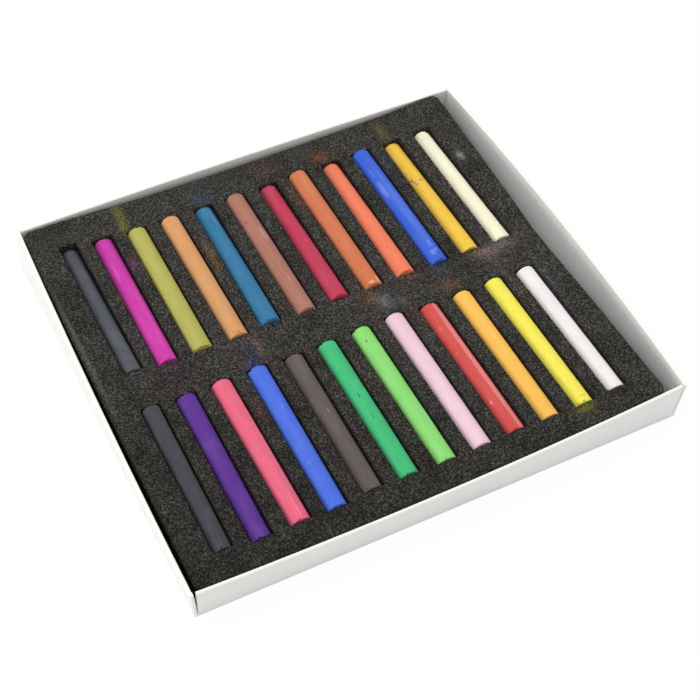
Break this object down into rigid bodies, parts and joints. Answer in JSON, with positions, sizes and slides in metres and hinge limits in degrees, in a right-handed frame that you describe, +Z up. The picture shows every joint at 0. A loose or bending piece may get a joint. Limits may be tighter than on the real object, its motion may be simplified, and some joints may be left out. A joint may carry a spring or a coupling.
{
  "type": "pastel drawer box",
  "caption": "Shallow open tray of folded white board holding a slotted charcoal foam insert with two rows of round soft pastel sticks that lift out.",
  "frame": {"origin": "middle of the tray's underside, on the surface it lies on", "axes": "X along the near wall to the right, Y away from the near wall, Z up"},
  "size_m": [0.1883, 0.1753, 0.0188],
  "materials": {
    "white_board": "matte",
    "charcoal_foam": "matte",
    "chalk_slate": "matte",
    "chalk_magenta": "matte",
    "chalk_olive": "matte",
    "chalk_ochre": "matte",
    "chalk_teal": "matte",
    "chalk_rosy_brown": "matte",
    "chalk_crimson": "matte",
    "chalk_rust": "matte",
    "chalk_vermilion": "matte",
    "chalk_royal_blue": "matte",
    "chalk_mustard": "matte",
    "chalk_cream": "matte",
    "chalk_charcoal": "matte",
    "chalk_purple": "matte",
    "chalk_rose": "matte",
    "chalk_blue": "matte",
    "chalk_dark_brown": "matte",
    "chalk_green": "matte",
    "chalk_light_green": "matte",
    "chalk_pale_pink": "matte",
    "chalk_red": "matte",
    "chalk_orange": "matte",
    "chalk_yellow": "matte",
    "chalk_white": "matte"
  },
  "bodies": {
    "tray": {"tray": "white_board"},
    "foam_insert": {"foam_base_layer": "charcoal_foam", "foam_slotted_layer": "charcoal_foam"},
    "pastel_slate_body": {"pastel_slate": "chalk_slate"},
    "pastel_magenta_body": {"pastel_magenta": "chalk_magenta"},
    "pastel_olive_body": {"pastel_olive": "chalk_olive"},
    "pastel_ochre_body": {"pastel_ochre": "chalk_ochre"},
    "pastel_teal_body": {"pastel_teal": "chalk_teal"},
    "pastel_rosy_brown_body": {"pastel_rosy_brown": "chalk_rosy_brown"},
    "pastel_crimson_body": {"pastel_crimson": "chalk_crimson"},
    "pastel_rust_body": {"pastel_rust": "chalk_rust"},
    "pastel_vermilion_body": {"pastel_vermilion": "chalk_vermilion"},
    "pastel_royal_blue_body": {"pastel_royal_blue": "chalk_royal_blue"},
    "pastel_mustard_body": {"pastel_mustard": "chalk_mustard"},
    "pastel_cream_body": {"pastel_cream": "chalk_cream"},
    "pastel_charcoal_body": {"pastel_charcoal": "chalk_charcoal"},
    "pastel_purple_body": {"pastel_purple": "chalk_purple"},
    "pastel_rose_body": {"pastel_rose": "chalk_rose"},
    "pastel_blue_body": {"pastel_blue": "chalk_blue"},
    "pastel_dark_brown_body": {"pastel_dark_brown": "chalk_dark_brown"},
    "pastel_green_body": {"pastel_green": "chalk_green"},
    "pastel_light_green_body": {"pastel_light_green": "chalk_light_green"},
    "pastel_pale_pink_body": {"pastel_pale_pink": "chalk_pale_pink"},
    "pastel_red_body": {"pastel_red": "chalk_red"},
    "pastel_orange_body": {"pastel_orange": "chalk_orange"},
    "pastel_yellow_body": {"pastel_yellow": "chalk_yellow"},
    "pastel_white_body": {"pastel_white": "chalk_white"}
  },
  "joints": [
    {"name": "foam_insert_lift", "type": "slide", "parent": "tray", "child": "foam_insert", "axis": [0, 0, 1], "range_m": [0, 0.025]},
    {"name": "pastel_slate_lift", "type": "slide", "parent": "foam_insert", "child": "pastel_slate_body", "axis": [0, 0, 1], "range_m": [0, 0.02]},
    {"name": "pastel_magenta_lift", "type": "slide", "parent": "foam_insert", "child": "pastel_magenta_body", "axis": [0, 0, 1], "range_m": [0, 0.02]},
    {"name": "pastel_olive_lift", "type": "slide", "parent": "foam_insert", "child": "pastel_olive_body", "axis": [0, 0, 1], "range_m": [0, 0.02]},
    {"name": "pastel_ochre_lift", "type": "slide", "parent": "foam_insert", "child": "pastel_ochre_body", "axis": [0, 0, 1], "range_m": [0, 0.02]},
    {"name": "pastel_teal_lift", "type": "slide", "parent": "foam_insert", "child": "pastel_teal_body", "axis": [0, 0, 1], "range_m": [0, 0.02]},
    {"name": "pastel_rosy_brown_lift", "type": "slide", "parent": "foam_insert", "child": "pastel_rosy_brown_body", "axis": [0, 0, 1], "range_m": [0, 0.02]},
    {"name": "pastel_crimson_lift", "type": "slide", "parent": "foam_insert", "child": "pastel_crimson_body", "axis": [0, 0, 1], "range_m": [0, 0.02]},
    {"name": "pastel_rust_lift", "type": "slide", "parent": "foam_insert", "child": "pastel_rust_body", "axis": [0, 0, 1], "range_m": [0, 0.02]},
    {"name": "pastel_vermilion_lift", "type": "slide", "parent": "foam_insert", "child": "pastel_vermilion_body", "axis": [0, 0, 1], "range_m": [0, 0.02]},
    {"name": "pastel_royal_blue_lift", "type": "slide", "parent": "foam_insert", "child": "pastel_royal_blue_body", "axis": [0, 0, 1], "range_m": [0, 0.02]},
    {"name": "pastel_mustard_lift", "type": "slide", "parent": "foam_insert", "child": "pastel_mustard_body", "axis": [0, 0, 1], "range_m": [0, 0.02]},
    {"name": "pastel_cream_lift", "type": "slide", "parent": "foam_insert", "child": "pastel_cream_body", "axis": [0, 0, 1], "range_m": [0, 0.02]},
    {"name": "pastel_charcoal_lift", "type": "slide", "parent": "foam_insert", "child": "pastel_charcoal_body", "axis": [0, 0, 1], "range_m": [0, 0.02]},
    {"name": "pastel_purple_lift", "type": "slide", "parent": "foam_insert", "child": "pastel_purple_body", "axis": [0, 0, 1], "range_m": [0, 0.02]},
    {"name": "pastel_rose_lift", "type": "slide", "parent": "foam_insert", "child": "pastel_rose_body", "axis": [0, 0, 1], "range_m": [0, 0.02]},
    {"name": "pastel_blue_lift", "type": "slide", "parent": "foam_insert", "child": "pastel_blue_body", "axis": [0, 0, 1], "range_m": [0, 0.02]},
    {"name": "pastel_dark_brown_lift", "type": "slide", "parent": "foam_insert", "child": "pastel_dark_brown_body", "axis": [0, 0, 1], "range_m": [0, 0.02]},
    {"name": "pastel_green_lift", "type": "slide", "parent": "foam_insert", "child": "pastel_green_body", "axis": [0, 0, 1], "range_m": [0, 0.02]},
    {"name": "pastel_light_green_lift", "type": "slide", "parent": "foam_insert", "child": "pastel_light_green_body", "axis": [0, 0, 1], "range_m": [0, 0.02]},
    {"name": "pastel_pale_pink_lift", "type": "slide", "parent": "foam_insert", "child": "pastel_pale_pink_body", "axis": [0, 0, 1], "range_m": [0, 0.02]},
    {"name": "pastel_red_lift", "type": "slide", "parent": "foam_insert", "child": "pastel_red_body", "axis": [0, 0, 1], "range_m": [0, 0.02]},
    {"name": "pastel_orange_lift", "type": "slide", "parent": "foam_insert", "child": "pastel_orange_body", "axis": [0, 0, 1], "range_m": [0, 0.02]},
    {"name": "pastel_yellow_lift", "type": "slide", "parent": "foam_insert", "child": "pastel_yellow_body", "axis": [0, 0, 1], "range_m": [0, 0.02]},
    {"name": "pastel_white_lift", "type": "slide", "parent": "foam_insert", "child": "pastel_white_body", "axis": [0, 0, 1], "range_m": [0, 0.02]}
  ]
}
